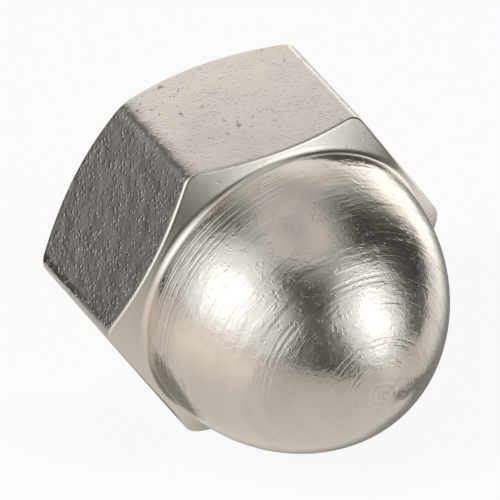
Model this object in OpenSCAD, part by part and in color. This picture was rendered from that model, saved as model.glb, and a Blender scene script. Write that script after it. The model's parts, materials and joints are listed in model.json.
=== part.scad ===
// Domed cap nut with an M10 thread: a hexagon and a hollow dome, turned and tapped in one piece.
// Sizes are in millimetres and angles in degrees.
// The nut lies on one of its flats, with its thread along Y and its dome towards -Y.
// The origin is on the surface under it, below the middle of its length.

/* [Hexagon] */
// Width across two opposite flats
across_flats = 16; // [15.8:0.1:19]
// Height of the hexagon, from the bearing face to the foot of the dome
hex_h = 8; // [6:0.5:12]
// Radius of the six long corners
corner_r = 1.0; // [0.2:0.1:2]
// Diameter of the flat bearing face
bearing_d = 15.6; // [13:0.1:17]
// Slope of the chamfer round the bearing face
bearing_chamfer_angle = 30; // [15:1:45]
// Slope of the chamfer that leads from the flats up to the dome
shoulder_chamfer_angle = 27; // [15:1:40]

/* [Dome] */
// Height of the dome, from the top of the hexagon to the tip
dome_h = 9.5; // [9:0.5:13]
// Diameter of the dome at its foot
dome_d = 15.1; // [13:0.1:15.6]
// Radius of the blunt nose
nose_r = 4.8; // [2:0.1:6]
// Radius of the hollow fillet between the shoulder and the dome
foot_fillet_r = 0.5; // [0.2:0.1:1]
// Metal left between the end of the tapped hole and the tip of the dome
crown_wall = 2; // [1:0.1:4]

/* [Tapped hole] */
// Diameter of the drilled bore, which the crests of the thread keep
bore_d = 8.5; // [6:0.1:8.8]
// Full angle of the point that the drill leaves at the end of the bore
drill_point_angle = 118; // [90:1:140]
// Diameter of the countersink at the bearing face
countersink_d = 10.8; // [9.2:0.1:12.5]
// Full angle of the countersink
countersink_angle = 90; // [60:5:120]

/* [Hidden] */

$fn = 180;
// Largest gap between an arc of an outline and its chords
arc_sagitta = 0.002;
// How far the turned outline and the cutters reach past the metal
overrun = 1;

overall_h = hex_h + dome_h;
bearing_r = bearing_d / 2;
dome_r = dome_d / 2;
bore_r = bore_d / 2;
countersink_r = countersink_d / 2;
hex_corner_reach = across_flats / sqrt(3);

// The fillet touches the shoulder's slope on one side and the dome's upright foot on the other
fillet_turn = 90 - shoulder_chamfer_angle;
dome_foot_z = hex_h + foot_fillet_r * tan(fillet_turn / 2);

// The side of the dome is one arc, upright at the foot and tangent to the nose
nose_z = overall_h - nose_r;
side_rise = nose_z - dome_foot_z;
side_r = (dome_r * dome_r + side_rise * side_rise - nose_r * nose_r) / (2 * (dome_r - nose_r));
side_turn = atan2(side_rise, side_r - dome_r);

drill_point_h = bore_r / tan(drill_point_angle / 2);
bore_depth = overall_h - crown_wall - drill_point_h;
countersink_h = (countersink_r - bore_r) / tan(countersink_angle / 2);

// Points along an arc from one angle to another, both ends included
function arc(centre, radius, from, to) =
    let (chord_turn = 2 * acos(1 - arc_sagitta / radius),
         chords = ceil(abs(to - from) / chord_turn))
    [for (i = [0:chords])
        let (angle = from + (to - from) * i / chords)
        centre + radius * [cos(angle), sin(angle)]];

// The bar that the nut is made from: a hexagon with rounded corners, and a flat towards -Y
module hex_bar() {
    corner_centre = (across_flats / 2 - corner_r) / cos(30);
    linear_extrude(height = overall_h)
        polygon([for (turn = [0:60:300])
            each arc(corner_centre * [cos(turn), sin(turn)], corner_r, turn - 30, turn + 30)]);
}

// All that the lathe shapes on the outside: bearing chamfer, shoulder, fillet, side and nose
module turned_outline() {
    outline_r = hex_corner_reach + overrun;
    bearing_chamfer_z = (outline_r - bearing_r) * tan(bearing_chamfer_angle);
    shoulder_z = hex_h - (outline_r - dome_r) * tan(shoulder_chamfer_angle);
    rotate_extrude()
        polygon(concat(
            [[0, 0], [bearing_r, 0], [outline_r, bearing_chamfer_z], [outline_r, shoulder_z]],
            arc([dome_r + foot_fillet_r, dome_foot_z], foot_fillet_r, 180 + fillet_turn, 180),
            arc([dome_r - side_r, dome_foot_z], side_r, 0, side_turn),
            arc([0, nose_z], nose_r, side_turn, 90)));
}

// Blind hole at the diameter of the thread's crests, countersunk at the bearing face
module tapped_hole() {
    translate([0, 0, -overrun])
        cylinder(r = bore_r, h = bore_depth + overrun);
    translate([0, 0, bore_depth])
        cylinder(r1 = bore_r, r2 = 0, h = drill_point_h);
    translate([0, 0, -overrun])
        cylinder(r1 = countersink_r + overrun * tan(countersink_angle / 2), r2 = bore_r,
                 h = countersink_h + overrun);
}

// Lays the standing nut on the flat that faces -Y, which points its dome to -Y
module lying_down() {
    translate([0, overall_h / 2, across_flats / 2])
        rotate([90, 0, 0])
            children();
}

// The whole nut
module cap_nut() {
    color("#c9c4bb")
        lying_down()
            difference() {
                intersection() {
                    hex_bar();
                    turned_outline();
                }
                tapped_hole();
            }
}

cap_nut();
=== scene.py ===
"""Domed cap nut of bright plated steel, lying on one of its flats in soft studio light.

The nut is one skin: from the tip of the dome down its side, over the shoulder and the six flats,
round the bearing face and into the tapped hole, with its real thread, to the point of the drill.
Lengths are in metres and angles in radians unless a name says otherwise.
"""

import json
import math
from typing import NamedTuple

import bpy
import numpy as np
from mathutils import Matrix, Vector


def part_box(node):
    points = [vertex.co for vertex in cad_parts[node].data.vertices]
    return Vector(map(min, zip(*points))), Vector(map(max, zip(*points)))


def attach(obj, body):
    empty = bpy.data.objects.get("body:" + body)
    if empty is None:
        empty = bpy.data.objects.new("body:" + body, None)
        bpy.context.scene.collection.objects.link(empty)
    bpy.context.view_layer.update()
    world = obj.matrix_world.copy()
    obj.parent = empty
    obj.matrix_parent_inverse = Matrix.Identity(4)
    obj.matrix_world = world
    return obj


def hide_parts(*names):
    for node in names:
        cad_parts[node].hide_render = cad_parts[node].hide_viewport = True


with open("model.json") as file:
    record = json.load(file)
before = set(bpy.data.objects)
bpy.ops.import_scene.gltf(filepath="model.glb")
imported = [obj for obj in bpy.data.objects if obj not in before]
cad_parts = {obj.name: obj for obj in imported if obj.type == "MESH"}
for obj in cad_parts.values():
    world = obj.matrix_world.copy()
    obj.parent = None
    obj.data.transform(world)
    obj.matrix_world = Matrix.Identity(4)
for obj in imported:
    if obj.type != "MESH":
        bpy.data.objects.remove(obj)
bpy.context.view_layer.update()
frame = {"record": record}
NUT_LOW, NUT_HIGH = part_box("cap_nut")
THREAD_MOUNT = next(m for m in frame["record"]["mounts"] if m["name"] == "thread")

bl_info = {
    "name": "Domed Cap Nut",
    "version": (1, 0, 0),
    "blender": (4, 5, 0),
    "location": "3D View > Sidebar > Cap Nut",
    "description": "A plated steel cap nut with a real thread, and a small studio to show it in",
    "category": "Add Mesh",
}

MM = 0.001

# How finely the skin is divided
CORNER_STEPS = 8
FLAT_STEPS = 60
HOLE_SHARE = 4
NOSE_BANDS = 26
SIDE_BANDS = 30
FILLET_BANDS = 8
SHOULDER_BANDS = 9
FLAT_BANDS = 48
CHAMFER_BANDS = 2
FACE_BANDS = 5
EDGE_BANDS = 4
# Width of the ring of the bearing face where the columns thin out
FACE_RIM = 0.6 * MM

TENT_RADIUS = 0.6
TENT_STEP = 6
CARD_THICKNESS = 0.2 * MM
WHITE = (1, 1, 1)
COOL_LIGHT = (0.92, 0.95, 1)
OLIVE_DARK = (0.97, 1, 0.93)

# The bright core of a softbox: its size and strength, as shares of the glow round it
CORE_SIZE = 0.45
CORE_STRENGTH = 0.66
# How much brighter the table is painted where a softbox spills light on it
SPILL_STRENGTH = 0.4
# How much of the table is plain white to the camera, where the rest of it takes the nut's shadow
WHITE_SHARE = 0.93
# How much of the table's own glow, with its painted light and shade, the metal mirrors, where it
# looks straight down on it
PALE_SHARE = 0.7

# Where one part of the tent gives way to the next: the start and end of each change, in degrees
SIDES_TO_BACK = (125, 148)
WALLS_TO_CEILING = (38, 57)
FRONT_LEFT = (-180, -141)
FRONT_RIGHT = (88, 137)
# Height of the dark front's upper edge, and how far it fades to each side, in degrees
FRONT_TOP = 59
FRONT_TOP_FADE = 13


class Softbox(NamedTuple):
    """A glow on the tent: its brightest point, and how far it reaches each way, in degrees."""

    azimuth: float
    elevation: float
    left: float
    right: float
    down: float
    up: float


class Spill(NamedTuple):
    """Painted light where a softbox spills on the table. It starts at one distance and is full at
    another.
    """

    left_azimuth: float
    right_azimuth: float
    fade: float
    start_mm: float
    full_mm: float


class Shade(NamedTuple):
    """A painted shadow of the nut on the table, an ellipse: its middle, half sizes and turn in
    degrees.
    """

    x_mm: float
    y_mm: float
    half_length_mm: float
    half_width_mm: float
    turn: float


SOFTBOXES = (
    Softbox(azimuth=-90, elevation=30, left=40, right=45, down=55, up=30),
    Softbox(azimuth=35, elevation=30, left=40, right=30, down=45, up=25),
)
# Pools of light painted on the table in front of the two softboxes
SPILLS = (
    Spill(left_azimuth=-113, right_azimuth=-62, fade=26, start_mm=7, full_mm=38),
    Spill(left_azimuth=20, right_azimuth=46, fade=20, start_mm=15, full_mm=60),
)
# Shadows of the nut painted on the table, where the metal mirrors them
PAINTED_SHADOWS = (
    Shade(x_mm=8.5, y_mm=0.7, half_length_mm=12.5, half_width_mm=7.9, turn=0),
    Shade(x_mm=8.3, y_mm=-9.6, half_length_mm=4.2, half_width_mm=1.8, turn=63),
    Shade(x_mm=-9, y_mm=4.4, half_length_mm=4.6, half_width_mm=2.4, turn=135),
)

# Rings that the tool left on the dome: radius and half width in millimetres
TOOL_RINGS = (
    (0.38, 0.07), (0.73, 0.06), (1.58, 0.04), (1.8, 0.05), (2.47, 0.05), (2.71, 0.05),
    (4.89, 0.05), (5.08, 0.05))
# Scores near the foot of the dome: height above the bearing face and half width in millimetres
FOOT_SCORES = ((8.72, 0.03), (8.9, 0.04), (9.14, 0.03), (9.3, 0.04), (9.62, 0.04), (9.9, 0.03))

# Material slots of the skin
TURNED, PLAIN_FLAT, TAPPED = range(3)


def length(name, description, millimetres):
    return bpy.props.FloatProperty(
        name=name, description=description, default=millimetres * MM, unit="LENGTH", precision=5)


def angle(name, description, degrees):
    return bpy.props.FloatProperty(
        name=name, description=description, default=math.radians(degrees), subtype="ANGLE")


def number(name, description, default):
    return bpy.props.FloatProperty(name=name, description=description, default=default)


def colour(name, description, default):
    return bpy.props.FloatVectorProperty(
        name=name, description=description, default=default, subtype="COLOR", size=3, min=0, max=1)


class NutSizes(bpy.types.PropertyGroup):
    """Sizes of the nut. Those that the frame holds come from it."""

    across_flats: length(
        "Across flats", "Width across two opposite flats", (NUT_HIGH.z - NUT_LOW.z) / MM)
    overall_height: length(
        "Height", "From the bearing face to the tip of the dome", (NUT_HIGH.y - NUT_LOW.y) / MM)
    hexagon_height: length("Hexagon height", "From the bearing face to the foot of the dome", 8)
    corner_radius: length("Corner radius", "Radius of the six long corners", 1.0)
    edge_radius: length("Edge radius", "Radius left on the turned edges", 0.2)
    bearing_diameter: length("Bearing face", "Diameter of the flat bearing face", 15.6)
    bearing_slope: angle("Bearing chamfer", "Slope of the chamfer at the bearing face", 30)
    shoulder_slope: angle("Shoulder", "Slope from the flats up to the dome", 27)
    dome_diameter: length("Dome", "Diameter of the dome at its foot", 15.1)
    nose_radius: length("Nose radius", "Radius of the blunt nose", 4.8)
    fillet_radius: length("Foot fillet", "Radius of the hollow at the foot of the dome", 0.5)
    crest_diameter: length(
        "Thread crests", "Diameter inside the thread's crests", THREAD_MOUNT["dims"]["r_mm"] * 2)
    root_diameter: length("Thread roots", "Diameter at the thread's roots", 10)
    pitch: length("Pitch", "Rise of the thread in one turn", 1.5)
    countersink_diameter: length("Countersink", "Diameter of the countersink's mouth", 10.8)
    full_thread_depth: length("Full thread", "Depth of the fully formed thread", 10.3)
    run_out: length("Run-out", "Length over which the tap's lead fades the thread out", 2.2)
    crown_wall: length("Crown wall", "Metal between the drill point and the tip", 2)
    drill_point_angle: angle("Drill point", "Full angle of the drill's point", 118)


class NutFinish(bpy.types.PropertyGroup):
    """Colours and surface of the plating."""

    plating: colour("Plating", "Colour of the bright plating", (0.74, 0.68, 0.60))
    blasted: colour("Blasted", "Colour of the plating on the blasted flats", (0.73, 0.67, 0.605))
    bared: colour("Bared", "Colour where the tool's rings are rubbed bright", (0.88, 0.84, 0.78))
    stain: colour("Stain", "Colour of the dull film in the pits", (0.30, 0.24, 0.20))
    turned_roughness: number("Turned roughness", "Roughness of the turned and polished dome", 0.14)
    shoulder_roughness: number("Shoulder roughness", "Roughness of the turned shoulder", 0.2)
    flat_roughness: number("Flat roughness", "Roughness of the blasted flats", 0.19)
    tapped_roughness: number("Tapped roughness", "Roughness inside the tapped hole", 0.32)
    turning_depth: length("Turning marks", "Depth of the marks of turning", 0.005)
    blasting_depth: length("Blasting", "Depth of the blasted texture of the flats", 0.010)


class StudioSettings(bpy.types.PropertyGroup):
    """The camera, the table and the light."""

    azimuth: angle("Azimuth", "Where the camera stands, from -Y towards +X", -29.7)
    elevation: angle("Elevation", "Height of the camera above the horizon", 39.3)
    roll: angle("Roll", "Turn of the camera about its line of sight", -0.3)
    distance: length("Distance", "From the camera to the point that it looks at", 505)
    aim: bpy.props.FloatVectorProperty(
        name="Aim", description="Point that the camera looks at", unit="LENGTH", size=3,
        default=(-1.03 * MM, 2.07 * MM, 9.63 * MM))
    focal_length: number("Focal length", "Focal length of the lens, in millimetres", 761.5)
    table: colour("Table", "Colour of the table top", (0.92, 0.90, 0.87))
    # Warm tint of the light painted on the table in front of the left softbox
    spill: colour("Spill", "Colour of the table before the left softbox", (1.0, 0.92, 0.85))
    # Darkness of the nut's shadows painted on the table
    shade: number("Shade", "How dark the table is in the shade of the nut", 0.65)
    softbox: number("Softboxes", "Brightness of the tent where a softbox shines on it", 1.02)
    back: number("Back", "Brightness of the tent behind the nut", 0.98)
    sides: number("Sides", "Brightness of the tent beside the nut", 0.74)
    ceiling: number("Ceiling", "Brightness of the tent's ceiling", 0.50)
    reflector: number("Reflector", "Brightness of the card on the table", 1.5)
    card_end: number("Card end", "Brightness of the reflector where it has faded out", 0.16)
    front: number("Front", "Brightness of the tent's dark front", 0.05)


def arc(centre, radius, start, end, count):
    """Points along an arc, with both ends, as an array of radius and height."""
    turn = np.linspace(start, end, count + 1)
    return np.stack([centre[0] + radius * np.cos(turn), centre[1] + radius * np.sin(turn)], axis=1)


def unit(vectors):
    return vectors / np.linalg.norm(vectors, axis=-1, keepdims=True)


def soften(before, corner, after, radius, bands=EDGE_BANDS):
    """Rings that round an edge off: an arc that touches both of the lines that meet there."""
    back = unit(before - corner)
    ahead = unit(after - corner)
    half_angle = np.arccos(np.clip((back * ahead).sum(-1, keepdims=True), -1, 1)) / 2
    centre = corner + unit(back + ahead) * radius / np.sin(half_angle)
    start = corner + back * radius / np.tan(half_angle) - centre
    end = corner + ahead * radius / np.tan(half_angle) - centre
    sweep = math.pi - 2 * half_angle
    return [
        centre + (start * np.sin((1 - t) * sweep) + end * np.sin(t * sweep)) / np.sin(sweep)
        for t in np.linspace(0, 1, bands + 1)
    ]


def hexagon_columns(sizes):
    """Angle and reach of each column of the skin, round the corners and along the flats."""
    corner_centre = (sizes.across_flats / 2 - sizes.corner_radius) / math.cos(math.radians(30))
    arcs = [
        arc([corner_centre * math.cos(turn), corner_centre * math.sin(turn)], sizes.corner_radius,
            turn - math.radians(30), turn + math.radians(30), CORNER_STEPS)
        for turn in np.radians(np.arange(0, 360, 60))
    ]
    points = []
    for corner, next_corner in zip(arcs, arcs[1:] + arcs[:1]):
        points.append(corner[:-1])
        share = np.arange(FLAT_STEPS)[:, None] / FLAT_STEPS
        points.append(corner[-1] + (next_corner[0] - corner[-1]) * share)
    points = np.concatenate(points)
    return np.arctan2(points[:, 1], points[:, 0]), np.hypot(points[:, 0], points[:, 1])


class Skin:
    """Rings of points round the nut's axis, each a radius and a height for every column."""

    def __init__(self, columns):
        self.columns = columns
        self.rings = []
        self.finishes = []

    def spread(self, point):
        """One radius and height, the same for every column."""
        return np.broadcast_to(np.asarray(point, float), (self.columns, 2))

    def add(self, rings, finish):
        for ring in rings:
            self.rings.append(ring if np.ndim(ring) == 2 else self.spread(ring))
            self.finishes.append(finish)

    def straight(self, end, bands, finish):
        start = self.rings[-1]
        end = end if np.ndim(end) == 2 else self.spread(end)
        self.add([start + (end - start) * t for t in np.linspace(0, 1, bands + 1)[1:]], finish)


def outside(sizes, reach):
    """The skin from the ring next to the tip of the dome to the edge of the countersink."""
    skin = Skin(len(reach))
    dome_r = sizes.dome_diameter / 2
    nose_r = sizes.nose_radius
    fillet_r = sizes.fillet_radius
    slope = math.tan(sizes.shoulder_slope)
    fillet_turn = math.pi / 2 - sizes.shoulder_slope
    foot_z = sizes.hexagon_height + fillet_r * math.tan(fillet_turn / 2)
    nose_z = sizes.overall_height - nose_r
    rise = nose_z - foot_z
    side_r = (dome_r ** 2 + rise ** 2 - nose_r ** 2) / (2 * (dome_r - nose_r))
    side_turn = math.atan2(rise, side_r - dome_r)

    nose = arc([0, nose_z], nose_r, math.pi / 2, side_turn, NOSE_BANDS)
    side = arc([dome_r - side_r, foot_z], side_r, side_turn, 0, SIDE_BANDS)
    fillet = arc([dome_r + fillet_r, foot_z], fillet_r, math.pi, math.pi + fillet_turn, FILLET_BANDS)
    skin.add(list(nose[1:]), TURNED)
    skin.add(list(side[1:]), TURNED)
    skin.add(list(fillet[1:]), TURNED)

    bearing_r = sizes.bearing_diameter / 2
    shoulder_edge = np.stack([reach, sizes.hexagon_height - (reach - dome_r) * slope], axis=1)
    bearing_edge = np.stack([reach, (reach - bearing_r) * math.tan(sizes.bearing_slope)], axis=1)
    face_edge = skin.spread([bearing_r, 0])
    face_end = skin.spread([sizes.countersink_diameter / 2 + FACE_RIM, 0])

    shoulder = soften(skin.rings[-1], shoulder_edge, bearing_edge, sizes.edge_radius)
    bearing = soften(shoulder_edge, bearing_edge, face_edge, sizes.edge_radius / 2)
    face = soften(bearing_edge, face_edge, face_end, sizes.edge_radius)
    skin.straight(shoulder[0], SHOULDER_BANDS, TURNED)
    skin.add(shoulder[1:], TURNED)
    skin.straight(bearing[0], FLAT_BANDS, PLAIN_FLAT)
    skin.add(bearing[1:], TURNED)
    skin.straight(face[0], CHAMFER_BANDS, TURNED)
    skin.add(face[1:], TURNED)
    skin.straight(face_end, FACE_BANDS, TURNED)
    return skin


def thread_form(sizes):
    """One turn of the thread's section, as shares of the pitch and of the depth, root at 1."""
    depth = (sizes.root_diameter - sizes.crest_diameter) / 2
    flank = depth * math.tan(math.radians(30)) / sizes.pitch
    root_half = 1 / 16
    root_edge = 0.5 - root_half
    crest_edge = root_edge - flank
    ease = 0.012
    half = [
        (crest_edge - ease, 0), (crest_edge + ease, 2 * ease / flank / 2),
        (crest_edge + flank / 2, 0.5),
        (root_edge - ease, 1 - ease / flank), (root_edge + ease, 1)]
    other_half = [(1 - share, depth_share) for share, depth_share in reversed(half)]
    return [(0, 0)] + half + [(0.5, 1)] + other_half


class Hole:
    """The threaded wall: rows of points that climb with the thread, cut off at both ends."""

    def __init__(self, sizes, angles, mouth_z, end_z):
        self.sizes = sizes
        self.form = thread_form(sizes)
        self.turn = (angles - angles[0]) % (2 * math.pi) / (2 * math.pi)
        self.mouth_z = mouth_z
        self.end_z = end_z

    def height(self, column, row):
        turns, station = divmod(row, len(self.form))
        share = self.form[station][0]
        return self.sizes.pitch * (turns - 1 + share + self.turn[column])

    def radius(self, z, row):
        sizes = self.sizes
        crest = sizes.crest_diameter / 2
        root = sizes.root_diameter / 2
        cut = crest + (root - crest) * self.form[row % len(self.form)][1]
        lead = root - (root - crest) * (z - sizes.full_thread_depth) / sizes.run_out
        countersink = sizes.countersink_diameter / 2 - z
        return max(min(cut, lead), countersink, crest)

    def rows(self, column):
        """The rows that lie between the two ends in this column."""
        spare = 0.01 * self.sizes.pitch
        row = 0
        found = []
        while self.height(column, row) < self.end_z - spare:
            if self.height(column, row) > self.mouth_z + spare:
                found.append(row)
            row += 1
        return found


class Metal:
    """Points and faces of the whole nut, joined as they are added."""

    def __init__(self):
        self.points = []
        self.faces = []
        self.finishes = []

    def point(self, radius, height, turn):
        self.points.append((radius * math.cos(turn), radius * math.sin(turn), height))
        return len(self.points) - 1

    def ring(self, ring, angles):
        return [self.point(r, z, turn) for (r, z), turn in zip(ring, angles)]

    def face(self, corners, finish):
        self.faces.append(corners)
        self.finishes.append(finish)

    def cap(self, tip, ring, finish, closing=False):
        for a, b in zip(ring, ring[1:] + ring[:1]):
            self.face((b, a, tip) if closing else (a, b, tip), finish)

    def band(self, outer, inner, finish):
        """Faces between two rings of as many points."""
        for a, b, c, d in zip(outer, inner, inner[1:] + inner[:1], outer[1:] + outer[:1]):
            self.face((a, b, c, d), finish)

    def narrowing(self, outer, inner, finish):
        """Faces between a ring and one with a few times fewer points."""
        share = len(outer) // len(inner)
        for i, a in enumerate(inner):
            b = inner[(i + 1) % len(inner)]
            run = [outer[(i * share + k) % len(outer)] for k in range(share + 1)]
            half = share // 2
            for k in range(half):
                self.face((run[k], a, run[k + 1]), finish)
            self.face((run[half], a, b), finish)
            for k in range(half, share):
                self.face((run[k], b, run[k + 1]), finish)

    def threaded(self, hole, angles, mouth, end, finish):
        """The helical rows of a hole, joined to a ring at its mouth and one at its end."""
        columns = len(angles)
        per_turn = len(hole.form)
        found = [hole.rows(column) for column in range(columns)]
        made = [
            {row: self.point(hole.radius(hole.height(c, row), row), hole.height(c, row), angles[c])
             for row in found[c]}
            for c in range(columns)
        ]
        for c in range(columns):
            nxt = (c + 1) % columns
            shift = per_turn if nxt == 0 else 0
            here = made[c]
            there = {row - shift: point for row, point in made[nxt].items()}
            low = max(min(here), min(there))
            high = min(max(here), max(there))
            for row in range(low, high):
                self.face((here[row], here[row + 1], there[row + 1], there[row]), finish)
            self.face(
                [mouth[c]] + [here[row] for row in range(min(here), low + 1)]
                + [there[row] for row in range(low, min(there) - 1, -1)] + [mouth[nxt]], finish)
            self.face(
                [here[row] for row in range(high, max(here) + 1)] + [end[c], end[nxt]]
                + [there[row] for row in range(max(there), high - 1, -1)], finish)


def build_metal(sizes):
    """The whole skin of the nut, standing on its bearing face, with its axis along Z."""
    angles, reach = hexagon_columns(sizes)
    metal = Metal()
    skin = outside(sizes, reach)
    tip = metal.point(0, sizes.overall_height, 0)
    first = metal.ring(skin.rings[0], angles)
    metal.cap(tip, first, TURNED)
    last = first
    for ring, finish in zip(skin.rings[1:], skin.finishes[1:]):
        made = metal.ring(ring, angles)
        metal.band(last, made, finish)
        last = made

    hole_angles = angles[::HOLE_SHARE]
    bore_r = sizes.crest_diameter / 2
    mouth_r = sizes.countersink_diameter / 2
    point_h = bore_r / math.tan(sizes.drill_point_angle / 2)
    bore_end = sizes.overall_height - sizes.crown_wall - point_h
    inner = Skin(len(hole_angles))
    mouth_edge = inner.spread([mouth_r, 0])
    cone_end = inner.spread([bore_r, mouth_r - bore_r])
    rim = inner.spread([mouth_r + FACE_RIM / 2, 0])
    mouth = soften(rim, mouth_edge, cone_end, sizes.edge_radius)
    inner.add([rim], TURNED)
    inner.straight(mouth[0], 1, TURNED)
    inner.add(mouth[1:], TAPPED)
    made = metal.ring(inner.rings[0], hole_angles)
    metal.narrowing(last, made, TURNED)
    for ring, finish in zip(inner.rings[1:], inner.finishes[1:]):
        last = made
        made = metal.ring(ring, hole_angles)
        metal.band(last, made, finish)

    corner = inner.spread([bore_r, bore_end])
    bottom = soften(inner.spread([bore_r, 0]), corner, inner.spread([0, bore_end + point_h]),
                    sizes.edge_radius)
    end = metal.ring(bottom[0], hole_angles)
    hole = Hole(sizes, hole_angles, inner.rings[-1][0][1], bottom[0][0][1])
    metal.threaded(hole, hole_angles, made, end, TAPPED)
    for ring in bottom[1:]:
        last = end
        end = metal.ring(ring, hole_angles)
        metal.band(last, end, TAPPED)
    metal.cap(metal.point(0, bore_end + point_h, 0), end, TAPPED, closing=True)
    return metal


def lying_down(sizes):
    """Places a standing nut as it lies: dome towards -Y, on the flat that faces -Y."""
    onto_flat = Matrix.Rotation(math.radians(90), 4, "X")
    return Matrix.Translation((0, sizes.overall_height / 2, sizes.across_flats / 2)) @ onto_flat


class Wire:
    """An output socket. Arithmetic on it adds Math nodes."""

    def __init__(self, graph, socket):
        self.graph = graph
        self.socket = socket

    def __add__(self, other):
        return self.graph.maths("ADD", self, other)

    def __radd__(self, other):
        return self.graph.maths("ADD", other, self)

    def __sub__(self, other):
        return self.graph.maths("SUBTRACT", self, other)

    def __rsub__(self, other):
        return self.graph.maths("SUBTRACT", other, self)

    def __mul__(self, other):
        return self.graph.maths("MULTIPLY", self, other)

    def __rmul__(self, other):
        return self.graph.maths("MULTIPLY", other, self)

    def __truediv__(self, other):
        return self.graph.maths("DIVIDE", self, other)

    def __rtruediv__(self, other):
        return self.graph.maths("DIVIDE", other, self)

    def __pow__(self, other):
        return self.graph.maths("POWER", self, other)


class Graph:
    """A node tree that is filled from empty."""

    def __init__(self, tree):
        self.tree = tree
        tree.nodes.clear()

    def node(self, kind, settings=None, output=0, **sockets):
        """Adds a node: its settings first, then its sockets. An _ in a name stands for a space, and
        a name such as at0 gives a socket by its number."""
        made = self.tree.nodes.new(kind)
        for name, value in (settings or {}).items():
            setattr(made, name, value)
        for name, value in sockets.items():
            numbered = name.startswith("at") and name[2:].isdigit()
            key = int(name[2:]) if numbered else name.replace("_", " ")
            self.plug(made.inputs[key], value)
        return Wire(self, made.outputs[output]) if made.outputs else None

    def plug(self, socket, value):
        if isinstance(value, Wire):
            self.tree.links.new(value.socket, socket)
        else:
            socket.default_value = value

    def maths(self, operation, a, b=0.0):
        return self.node("ShaderNodeMath", {"operation": operation}, at0=a, at1=b)

    def between(self, value, low, high):
        """0 below low, 1 above high, and smooth between them."""
        settings = {"interpolation_type": "SMOOTHSTEP"}
        return self.node("ShaderNodeMapRange", settings, Value=value, From_Min=low, From_Max=high)

    def blend(self, factor, a, b):
        """Colour a where the factor is 0, and b where it is 1."""
        return self.node(
            "ShaderNodeMix", {"data_type": "RGBA"}, output=2, at0=factor, at6=solid(a), at7=solid(b))

    def dim(self, colour, level):
        """A colour at another brightness."""
        return self.node("ShaderNodeVectorMath", {"operation": "SCALE"}, at0=colour, Scale=level)

    def noise(self, vector, scale, detail=2.0, rough=0.5):
        return self.node(
            "ShaderNodeTexNoise", Vector=vector, Scale=scale, Detail=detail, Roughness=rough)


def solid(value):
    """A colour of three numbers with full alpha, or the wire as it is."""
    return value if isinstance(value, Wire) else (*value, 1)


def nut_place(graph):
    """Position on the nut in millimetres, radius, and the way round and along the lathe."""
    place = graph.node("ShaderNodeTexCoord", output="Object")
    millimetres = graph.node(
        "ShaderNodeVectorMath", {"operation": "SCALE"}, at0=place, Scale=1 / MM)
    split = graph.node("ShaderNodeSeparateXYZ", Vector=millimetres).socket.node
    x = Wire(graph, split.outputs["X"])
    y = Wire(graph, split.outputs["Y"])
    z = Wire(graph, split.outputs["Z"])
    radius = graph.maths("SQRT", x * x + y * y) + 0.001
    return millimetres, x / radius, y / radius, radius, z


def lathe_marks(graph, lathe, around, along, detail=2.0):
    """Noise drawn out along the circles that the tool follows: marks a radian, and a millimetre."""
    way_x, way_y, track = lathe
    vector = graph.node("ShaderNodeCombineXYZ", X=way_x * around, Y=way_y * around, Z=track * along)
    return graph.noise(vector, 1.0, detail)


def relief(graph, height):
    """Normals of a surface whose height is given in millimetres."""
    return graph.node("ShaderNodeBump", Strength=1.0, Distance=MM, Height=height)


def new_material(name):
    material = bpy.data.materials.new(name)
    material.use_nodes = True
    return material, Graph(material.node_tree)


def finish_metal(graph, base, rough, normal):
    shader = graph.node(
        "ShaderNodeBsdfPrincipled", Base_Color=base, Metallic=1.0, Roughness=rough, Normal=normal)
    graph.node("ShaderNodeOutputMaterial", Surface=shader)


def turned_plating(finish):
    """Dome, shoulder, chamfers and bearing face: polished, with marks that run round the axis."""
    material, graph = new_material("turned_plating")
    place, way_x, way_y, radius, z = nut_place(graph)
    lathe = (way_x, way_y, radius - z)
    on_dome = graph.between(z, 8.2, 8.5)
    brushing = lathe_marks(graph, lathe, 6, 9)
    mottling = lathe_marks(graph, lathe, 10, 4)
    dimples = graph.noise(place, 2.4, 2, 0.6)
    patches = lathe_marks(graph, lathe, 1.2, 0.6, 1)
    rubbed = (0.3 + graph.between(patches, 0.4, 0.6)) * (0.25 + on_dome * 0.75)
    scratches = graph.between(lathe_marks(graph, lathe, 3.5, 5.5, 1), 0.62, 0.72)
    long_scratches = graph.between(lathe_marks(graph, lathe, 1.1, 4.5, 1), 0.64, 0.7)
    dents = graph.between(graph.noise(place, 2.6, 1), 0.67, 0.78)
    curls = graph.maths("ABSOLUTE", graph.noise(place, 2.9, 1) - 0.5)
    flecked = graph.between(graph.noise(place, 2.6, 1), 0.5, 0.6)
    flecks = (1 - graph.between(curls, 0, 0.07)) * flecked
    broken = graph.between(lathe_marks(graph, lathe, 1.4, 0.5, 1), 0.42, 0.5)
    height = brushing * 0.2 + (mottling * 2 + dimples * 2.4) * rubbed
    height = height + (scratches + long_scratches) * rubbed * 0.7 - dents
    height = height + flecks * on_dome * 0.8
    rings = 0.0
    for reach, width in TOOL_RINGS:
        rings = rings + window(graph, radius, reach - width, reach + width, width)
    height = height - rings * broken * (2.4 - graph.between(radius, 3, 4.5) * 1.3)
    scores = 0.0
    for reach, width in FOOT_SCORES:
        scores = scores + window(graph, z, reach - width, reach + width, width)
    scored = graph.between(way_y * 0.6 - way_x * 0.8, 0.6, 0.9)
    height = height - scores * scored * graph.between(brushing, 0.35, 0.5) * 2.4
    worn = rings * (1 - graph.between(radius, 1, 2)) + graph.between(0 - radius, -0.16, -0.1)
    smoother = finish.turned_roughness - finish.shoulder_roughness
    rough = (finish.shoulder_roughness + on_dome * smoother) * (0.8 + brushing * 0.4)
    film = graph.between(patches, 0.35, 0.75)
    base = graph.blend(film, finish.plating, [c * 0.93 for c in finish.plating])
    base = graph.blend(worn * 0.3, base, finish.bared)
    finish_metal(graph, base, rough, relief(graph, height * (finish.turning_depth / MM)))
    return material


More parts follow.
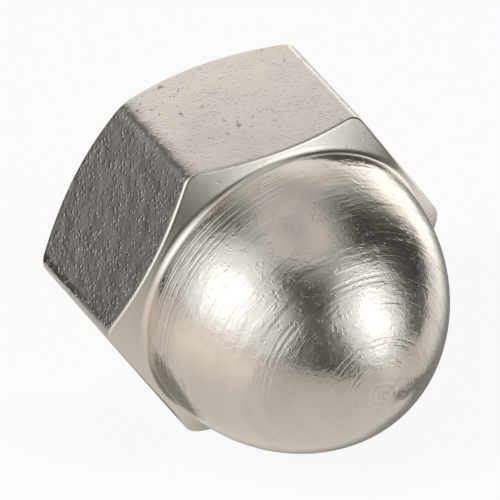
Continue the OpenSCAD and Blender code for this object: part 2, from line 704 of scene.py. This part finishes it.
def blasted_plating(finish):
    """The six flats: blasted with beads before plating, duller towards the dome, a few pits."""
    material, graph = new_material("blasted_plating")
    place, _, _, _, z = nut_place(graph)
    bead = graph.node("ShaderNodeTexVoronoi", Vector=place, Scale=4.4)
    beaded = graph.between(graph.noise(place, 2.2, 1), 0.3, 0.55)
    grain = (1 - graph.between(bead, 0.05, 0.5)) * beaded
    waves = graph.noise(place, 0.9, 2)
    cluster = graph.between(graph.noise(place, 0.32, 1), 0.42, 0.66)
    pits = graph.between(graph.noise(place, 2.4, 2, 0.6), 0.64, 0.7) * cluster
    film = graph.between(graph.noise(place, 0.45, 3), 0.35, 0.7)
    height = grain * 0.9 + waves * 3 - pits * 1.5
    base = graph.blend(film * 0.3 + graph.between(z, 0.5, 7.5) * 0.7, finish.blasted,
                       [c * 0.79 for c in finish.blasted])
    base = graph.blend(pits * 0.7, base, finish.stain)
    rough = finish.flat_roughness + pits * 0.2
    finish_metal(graph, base, rough, relief(graph, height * (finish.blasting_depth / MM)))
    return material


def tapped_plating(finish):
    """The hole: cut with a tap, and only thinly plated."""
    material, graph = new_material("tapped_plating")
    place, *_ = nut_place(graph)
    grain = graph.noise(place, 6, 3)
    base = graph.blend(grain, [c * 0.75 for c in finish.plating], [c * 0.9 for c in finish.plating])
    normal = relief(graph, grain * (finish.turning_depth / MM))
    finish_metal(graph, base, finish.tapped_roughness, normal)
    return material


def add_mesh(name, points, faces):
    mesh = bpy.data.meshes.new(name)
    mesh.from_pydata(points, [], faces)
    mesh.validate()
    piece = bpy.data.objects.new(name, mesh)
    bpy.context.scene.collection.objects.link(piece)
    return piece


def weighted_normals(mesh):
    """Vertex normals in which large faces count most, so that flats stay flat up to their edges."""
    loops = np.zeros(len(mesh.loops), int)
    mesh.loops.foreach_get("vertex_index", loops)
    sides = np.array([face.loop_total for face in mesh.polygons])
    normals = np.array([face.normal * face.area for face in mesh.polygons])
    total = np.zeros((len(mesh.vertices), 3))
    np.add.at(total, loops, np.repeat(normals, sides, axis=0))
    mesh.normals_split_custom_set_from_vertices(unit(total).tolist())


def pointing(azimuth, elevation):
    """Unit vector towards a direction: azimuth from -Y towards +X."""
    return Vector((
        math.sin(azimuth) * math.cos(elevation),
        -math.cos(azimuth) * math.cos(elevation),
        math.sin(elevation)))


def paint(piece, name, light_of):
    """Makes a piece of the studio shine. It lights the metal, and the camera doesn't see it."""
    material, graph = new_material(name)
    light = graph.node("ShaderNodeEmission", Color=light_of(graph), Strength=1.0)
    graph.node("ShaderNodeOutputMaterial", Surface=light)
    piece.data.materials.append(material)
    piece.visible_camera = False


def bearings(graph):
    """Direction from the nut in degrees: azimuth from -Y towards +X, and elevation."""
    place = graph.node("ShaderNodeTexCoord", output="Object")
    split = graph.node("ShaderNodeSeparateXYZ", Vector=place).socket.node
    x = Wire(graph, split.outputs["X"])
    y = Wire(graph, split.outputs["Y"])
    z = Wire(graph, split.outputs["Z"])
    azimuth = graph.maths("ARCTAN2", x, 0 - y) * math.degrees(1)
    elevation = graph.maths("ARCTAN2", z, graph.maths("SQRT", x * x + y * y)) * math.degrees(1)
    return azimuth, elevation


def window(graph, value, low, high, fade):
    """1 between low and high, fading to 0 on both sides of each of them."""
    rise = graph.between(value, low - fade / 2, low + fade / 2)
    fall = graph.between(value, high - fade / 2, high + fade / 2)
    return rise * (1 - fall)


def glow(graph, azimuth, elevation, softbox, size=1.0):
    """A softbox behind the tent: 1 in the middle, and a half as far out as it reaches."""
    aside = azimuth - softbox.azimuth
    above = elevation - softbox.elevation
    across = graph.maths(
        "MAXIMUM", (0 - aside) / (softbox.left * size), aside / (softbox.right * size))
    along = graph.maths("MAXIMUM", (0 - above) / (softbox.down * size), above / (softbox.up * size))
    reach = across * across + along * along
    return 1 / (1 + reach ** 4)


class OBJECT_OT_cap_nut(bpy.types.Operator):
    """Build the cap nut in place of its plain solid"""

    bl_idname = "object.cap_nut"
    bl_label = "Cap Nut"

    def execute(self, context):
        sizes = context.scene.nut_sizes
        finish = context.scene.nut_finish
        metal = build_metal(sizes)
        piece = add_mesh("cap_nut_metal", metal.points, metal.faces)
        piece.data.polygons.foreach_set("material_index", metal.finishes)
        piece.data.shade_smooth()
        weighted_normals(piece.data)
        for material in (turned_plating(finish), blasted_plating(finish), tapped_plating(finish)):
            piece.data.materials.append(material)
        piece.matrix_world = lying_down(sizes)
        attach(piece, "root")
        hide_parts("cap_nut")
        return {"FINISHED"}


class SCENE_OT_nut_studio(bpy.types.Operator):
    """Build the table, the light tent, the cards and the camera"""

    bl_idname = "scene.nut_studio"
    bl_label = "Studio"

    def execute(self, context):
        studio = context.scene.nut_studio
        self.add_camera(studio)
        self.add_table(studio)
        self.add_light(studio)
        self.add_world()
        context.scene.view_settings.view_transform = "Standard"
        return {"FINISHED"}

    def add_camera(self, studio):
        data = bpy.data.cameras.new("camera")
        data.lens = studio.focal_length
        data.clip_start = 0.01
        data.clip_end = 20
        camera = bpy.data.objects.new("camera", data)
        bpy.context.scene.collection.objects.link(camera)
        back = pointing(studio.azimuth, studio.elevation)
        camera.rotation_mode = "QUATERNION"
        camera.location = Vector(studio.aim) + back * studio.distance
        turn = Matrix.Rotation(studio.roll, 3, "Z")
        camera.rotation_quaternion = (
            (-back).to_track_quat("-Z", "Y").to_matrix() @ turn).to_quaternion()
        bpy.context.scene.camera = camera

    def add_table(self, studio):
        reach = 10
        table = add_mesh(
            "table", [(-reach, -reach, 0), (reach, -reach, 0), (reach, reach, 0), (-reach, reach, 0)],
            [(0, 1, 2, 3)])
        material, graph = new_material("table_top")
        ray = graph.node("ShaderNodeLightPath").socket.node
        seen = Wire(graph, ray.outputs["Is Camera Ray"])
        glossy = Wire(graph, ray.outputs["Is Glossy Ray"])
        mirrored = glossy + Wire(graph, ray.outputs["Is Transmission Ray"])
        place = graph.node("ShaderNodeTexCoord", output="Object")
        away = self.away(graph)
        # Painted light and shade on the table: falloff from the nut, softbox spills and nut shadows
        fall = graph.maths("MINIMUM", (away / (5 * MM)) ** -0.17, 1.0)
        azimuth, _ = bearings(graph)
        left_spill, right_spill = [
            window(graph, azimuth, spill.left_azimuth, spill.right_azimuth, spill.fade)
            * graph.between(away, spill.start_mm * MM, spill.full_mm * MM)
            for spill in SPILLS]
        painted_shadow = self.shade(graph, place) * studio.shade
        lit = (fall + (left_spill + right_spill) * SPILL_STRENGTH) * (1 - painted_shadow)
        hue = graph.blend(left_spill, studio.table, studio.spill)
        top = graph.dim(hue, graph.maths("MINIMUM", lit, 1.0))
        board = graph.node("ShaderNodeBsdfPrincipled", Base_Color=top, Roughness=0.16)
        matt = graph.node("ShaderNodeBsdfDiffuse", Color=top)
        face_on = 1 - graph.node("ShaderNodeFresnel", IOR=1.5)
        white = graph.node("ShaderNodeEmission", Color=(1, 1, 1, 1), Strength=1.0)
        # The table glows with its painted light and shade where the metal mirrors it
        pale = graph.node("ShaderNodeEmission", Color=graph.dim(hue, lit), Strength=1.0)
        in_metal = graph.node(
            "ShaderNodeMixShader", Fac=mirrored * face_on * PALE_SHARE, at1=board, at2=pale)
        in_view = graph.node("ShaderNodeMixShader", Fac=WHITE_SHARE, at1=matt, at2=white)
        shown = graph.node("ShaderNodeMixShader", Fac=seen, at1=in_metal, at2=in_view)
        graph.node("ShaderNodeOutputMaterial", Surface=shown)
        table.data.materials.append(material)

    def shade(self, graph, place):
        """A painted shadow: 1 where the nut would keep a softbox's light off the table, and 0 further
        out.
        """
        total = 0.0
        for shade in PAINTED_SHADOWS:
            shadow = graph.node(
                "ShaderNodeMapping", {"vector_type": "TEXTURE"}, Vector=place,
                Location=(shade.x_mm * MM, shade.y_mm * MM, 0),
                Rotation=(0, 0, math.radians(shade.turn)),
                Scale=(shade.half_length_mm * MM, shade.half_width_mm * MM, 1))
            reach = graph.node(
                "ShaderNodeVectorMath", {"operation": "LENGTH"}, output="Value", at0=shadow)
            total = graph.maths("MAXIMUM", total, 1 - graph.between(reach, 0.85, 1.15))
        return total

    def add_tent(self, studio):
        """A light tent round the nut, with a dark front and two softboxes that shine through it."""
        points = [
            pointing(math.radians(turn), math.radians(rise)) * TENT_RADIUS
            for rise in range(0, 90, TENT_STEP) for turn in range(0, 360, TENT_STEP)]
        columns = 360 // TENT_STEP
        rows = 90 // TENT_STEP
        faces = [
            (row * columns + i, row * columns + (i + 1) % columns,
             (row + 1) * columns + (i + 1) % columns, (row + 1) * columns + i)
            for row in range(rows - 1) for i in range(columns)]
        top = len(points)
        points.append(Vector((0, 0, TENT_RADIUS)))
        faces += [((rows - 1) * columns + i, (rows - 1) * columns + (i + 1) % columns, top)
                  for i in range(columns)]
        tent = add_mesh("light_tent", points, faces)

        def light_of(graph):
            azimuth, elevation = bearings(graph)
            ceiling = studio.ceiling + window(graph, elevation, 68, 82, 8) * 0.11
            behind = graph.between(graph.maths("ABSOLUTE", azimuth), *SIDES_TO_BACK)
            level = studio.sides + behind * (studio.back - studio.sides)
            level = level + graph.between(elevation, *WALLS_TO_CEILING) * (ceiling - level)
            dark = graph.between(azimuth, *FRONT_LEFT) * (1 - graph.between(azimuth, *FRONT_RIGHT))
            top = FRONT_TOP + window(graph, azimuth, -72, 0, 40) * 4
            dark = dark * (1 - graph.between(elevation, top - FRONT_TOP_FADE, top + FRONT_TOP_FADE))
            level = level + dark * (studio.front - level)
            strip = window(graph, azimuth, 106, 134, 12) * (1 - graph.between(elevation, 3, 33))
            level = level + strip * (studio.reflector - level)
            shine = 0.0
            for softbox in SOFTBOXES:
                shine = shine + glow(graph, azimuth, elevation, softbox)
                shine = shine + glow(graph, azimuth, elevation, softbox, CORE_SIZE) * CORE_STRENGTH
            shade = graph.blend(dark, WHITE, OLIVE_DARK)
            shade = graph.blend(graph.maths("MINIMUM", shine * 2, 1.0), shade, COOL_LIGHT)
            return graph.dim(shade, level + shine * studio.softbox)

        paint(tent, "tent_fabric", light_of)

    def add_card(self, name, left, right, gap, light_of):
        """A card that lies on the table: a slice of a ring round the nut, given in degrees."""
        points = [pointing(math.radians(turn), 0) * reach + Vector((0, 0, CARD_THICKNESS))
                  for reach in (gap, TENT_RADIUS) for turn in (left, right)]
        card = add_mesh(name, points, [(0, 1, 3, 2)])
        paint(card, name + "_face", light_of)
        card.visible_shadow = False
        card.visible_diffuse = False

    def add_light(self, studio):
        """The tent, a reflector to the right of the nut, and a black card behind it to the left."""

        def reflected(graph):
            # Painted nut shadow near the nut, bright further out, and dark again far out on the
            # camera's side
            along = self.towards(graph, 60)
            aside = self.towards(graph, 19)
            level = 0.25 + graph.between(along, 12 * MM, 17 * MM) * 0.2
            level = level + graph.between(self.towards(graph, 45), 10 * MM, 16 * MM) * 0.35
            pale = graph.between(aside, 2 * MM, 16 * MM)
            far = studio.reflector + pale * (0.75 - studio.reflector)
            dark = graph.between(aside, 19 * MM, 31 * MM)
            far = far + dark * (studio.card_end - far)
            return graph.dim(WHITE, level + graph.between(along, 15 * MM, 27 * MM) * (far - level))

        def black(graph):
            return (studio.front, studio.front, studio.front, 1)

        self.add_tent(studio)
        self.add_card("reflector", 60, 135, 13 * MM, reflected)
        self.add_card("black_card", -180, -128, 24 * MM, black)

    def towards(self, graph, azimuth):
        """How far a place on the table lies from the nut along one azimuth, in degrees."""
        place = graph.node("ShaderNodeTexCoord", output="Object")
        return graph.node(
            "ShaderNodeVectorMath", {"operation": "DOT_PRODUCT"}, output="Value", at0=place,
            at1=pointing(math.radians(azimuth), 0))

    def away(self, graph):
        """Distance on the table from the point below the nut."""
        place = graph.node("ShaderNodeTexCoord", output="Object")
        return graph.node("ShaderNodeVectorMath", {"operation": "LENGTH"}, output="Value", at0=place)

    def add_world(self):
        world = bpy.data.worlds.new("studio")
        world.use_nodes = True
        bpy.context.scene.world = world
        graph = Graph(world.node_tree)
        ray = graph.node("ShaderNodeLightPath").socket.node
        seen = Wire(graph, ray.outputs["Is Camera Ray"]) + Wire(graph, ray.outputs["Is Glossy Ray"])
        seen = seen + Wire(graph, ray.outputs["Is Transmission Ray"])
        strength = 0.6 + seen * 0.4
        light = graph.node("ShaderNodeBackground", Color=(1, 1, 1, 1), Strength=strength)
        graph.node("ShaderNodeOutputWorld", Surface=light)


class VIEW3D_PT_cap_nut(bpy.types.Panel):
    """Sizes, finish and studio of the cap nut"""

    bl_label = "Cap Nut"
    bl_idname = "VIEW3D_PT_cap_nut"
    bl_space_type = "VIEW_3D"
    bl_region_type = "UI"
    bl_category = "Cap Nut"

    def draw(self, context):
        scene = context.scene
        for operator in (OBJECT_OT_cap_nut, SCENE_OT_nut_studio):
            self.layout.operator(operator.bl_idname)
        for title, group in (("Sizes", scene.nut_sizes), ("Finish", scene.nut_finish),
                             ("Studio", scene.nut_studio)):
            box = self.layout.box()
            box.label(text=title)
            for name in group.__annotations__:
                box.prop(group, name)


GROUPS = {"nut_sizes": NutSizes, "nut_finish": NutFinish, "nut_studio": StudioSettings}
CLASSES = (*GROUPS.values(), OBJECT_OT_cap_nut, SCENE_OT_nut_studio, VIEW3D_PT_cap_nut)


def register():
    for cls in CLASSES:
        bpy.utils.register_class(cls)
    for name, group in GROUPS.items():
        setattr(bpy.types.Scene, name, bpy.props.PointerProperty(type=group))


def unregister():
    for name in GROUPS:
        delattr(bpy.types.Scene, name)
    for cls in reversed(CLASSES):
        bpy.utils.unregister_class(cls)


def main():
    register()
    bpy.ops.object.cap_nut()
    bpy.ops.scene.nut_studio()


if __name__ == "__main__":
    main()
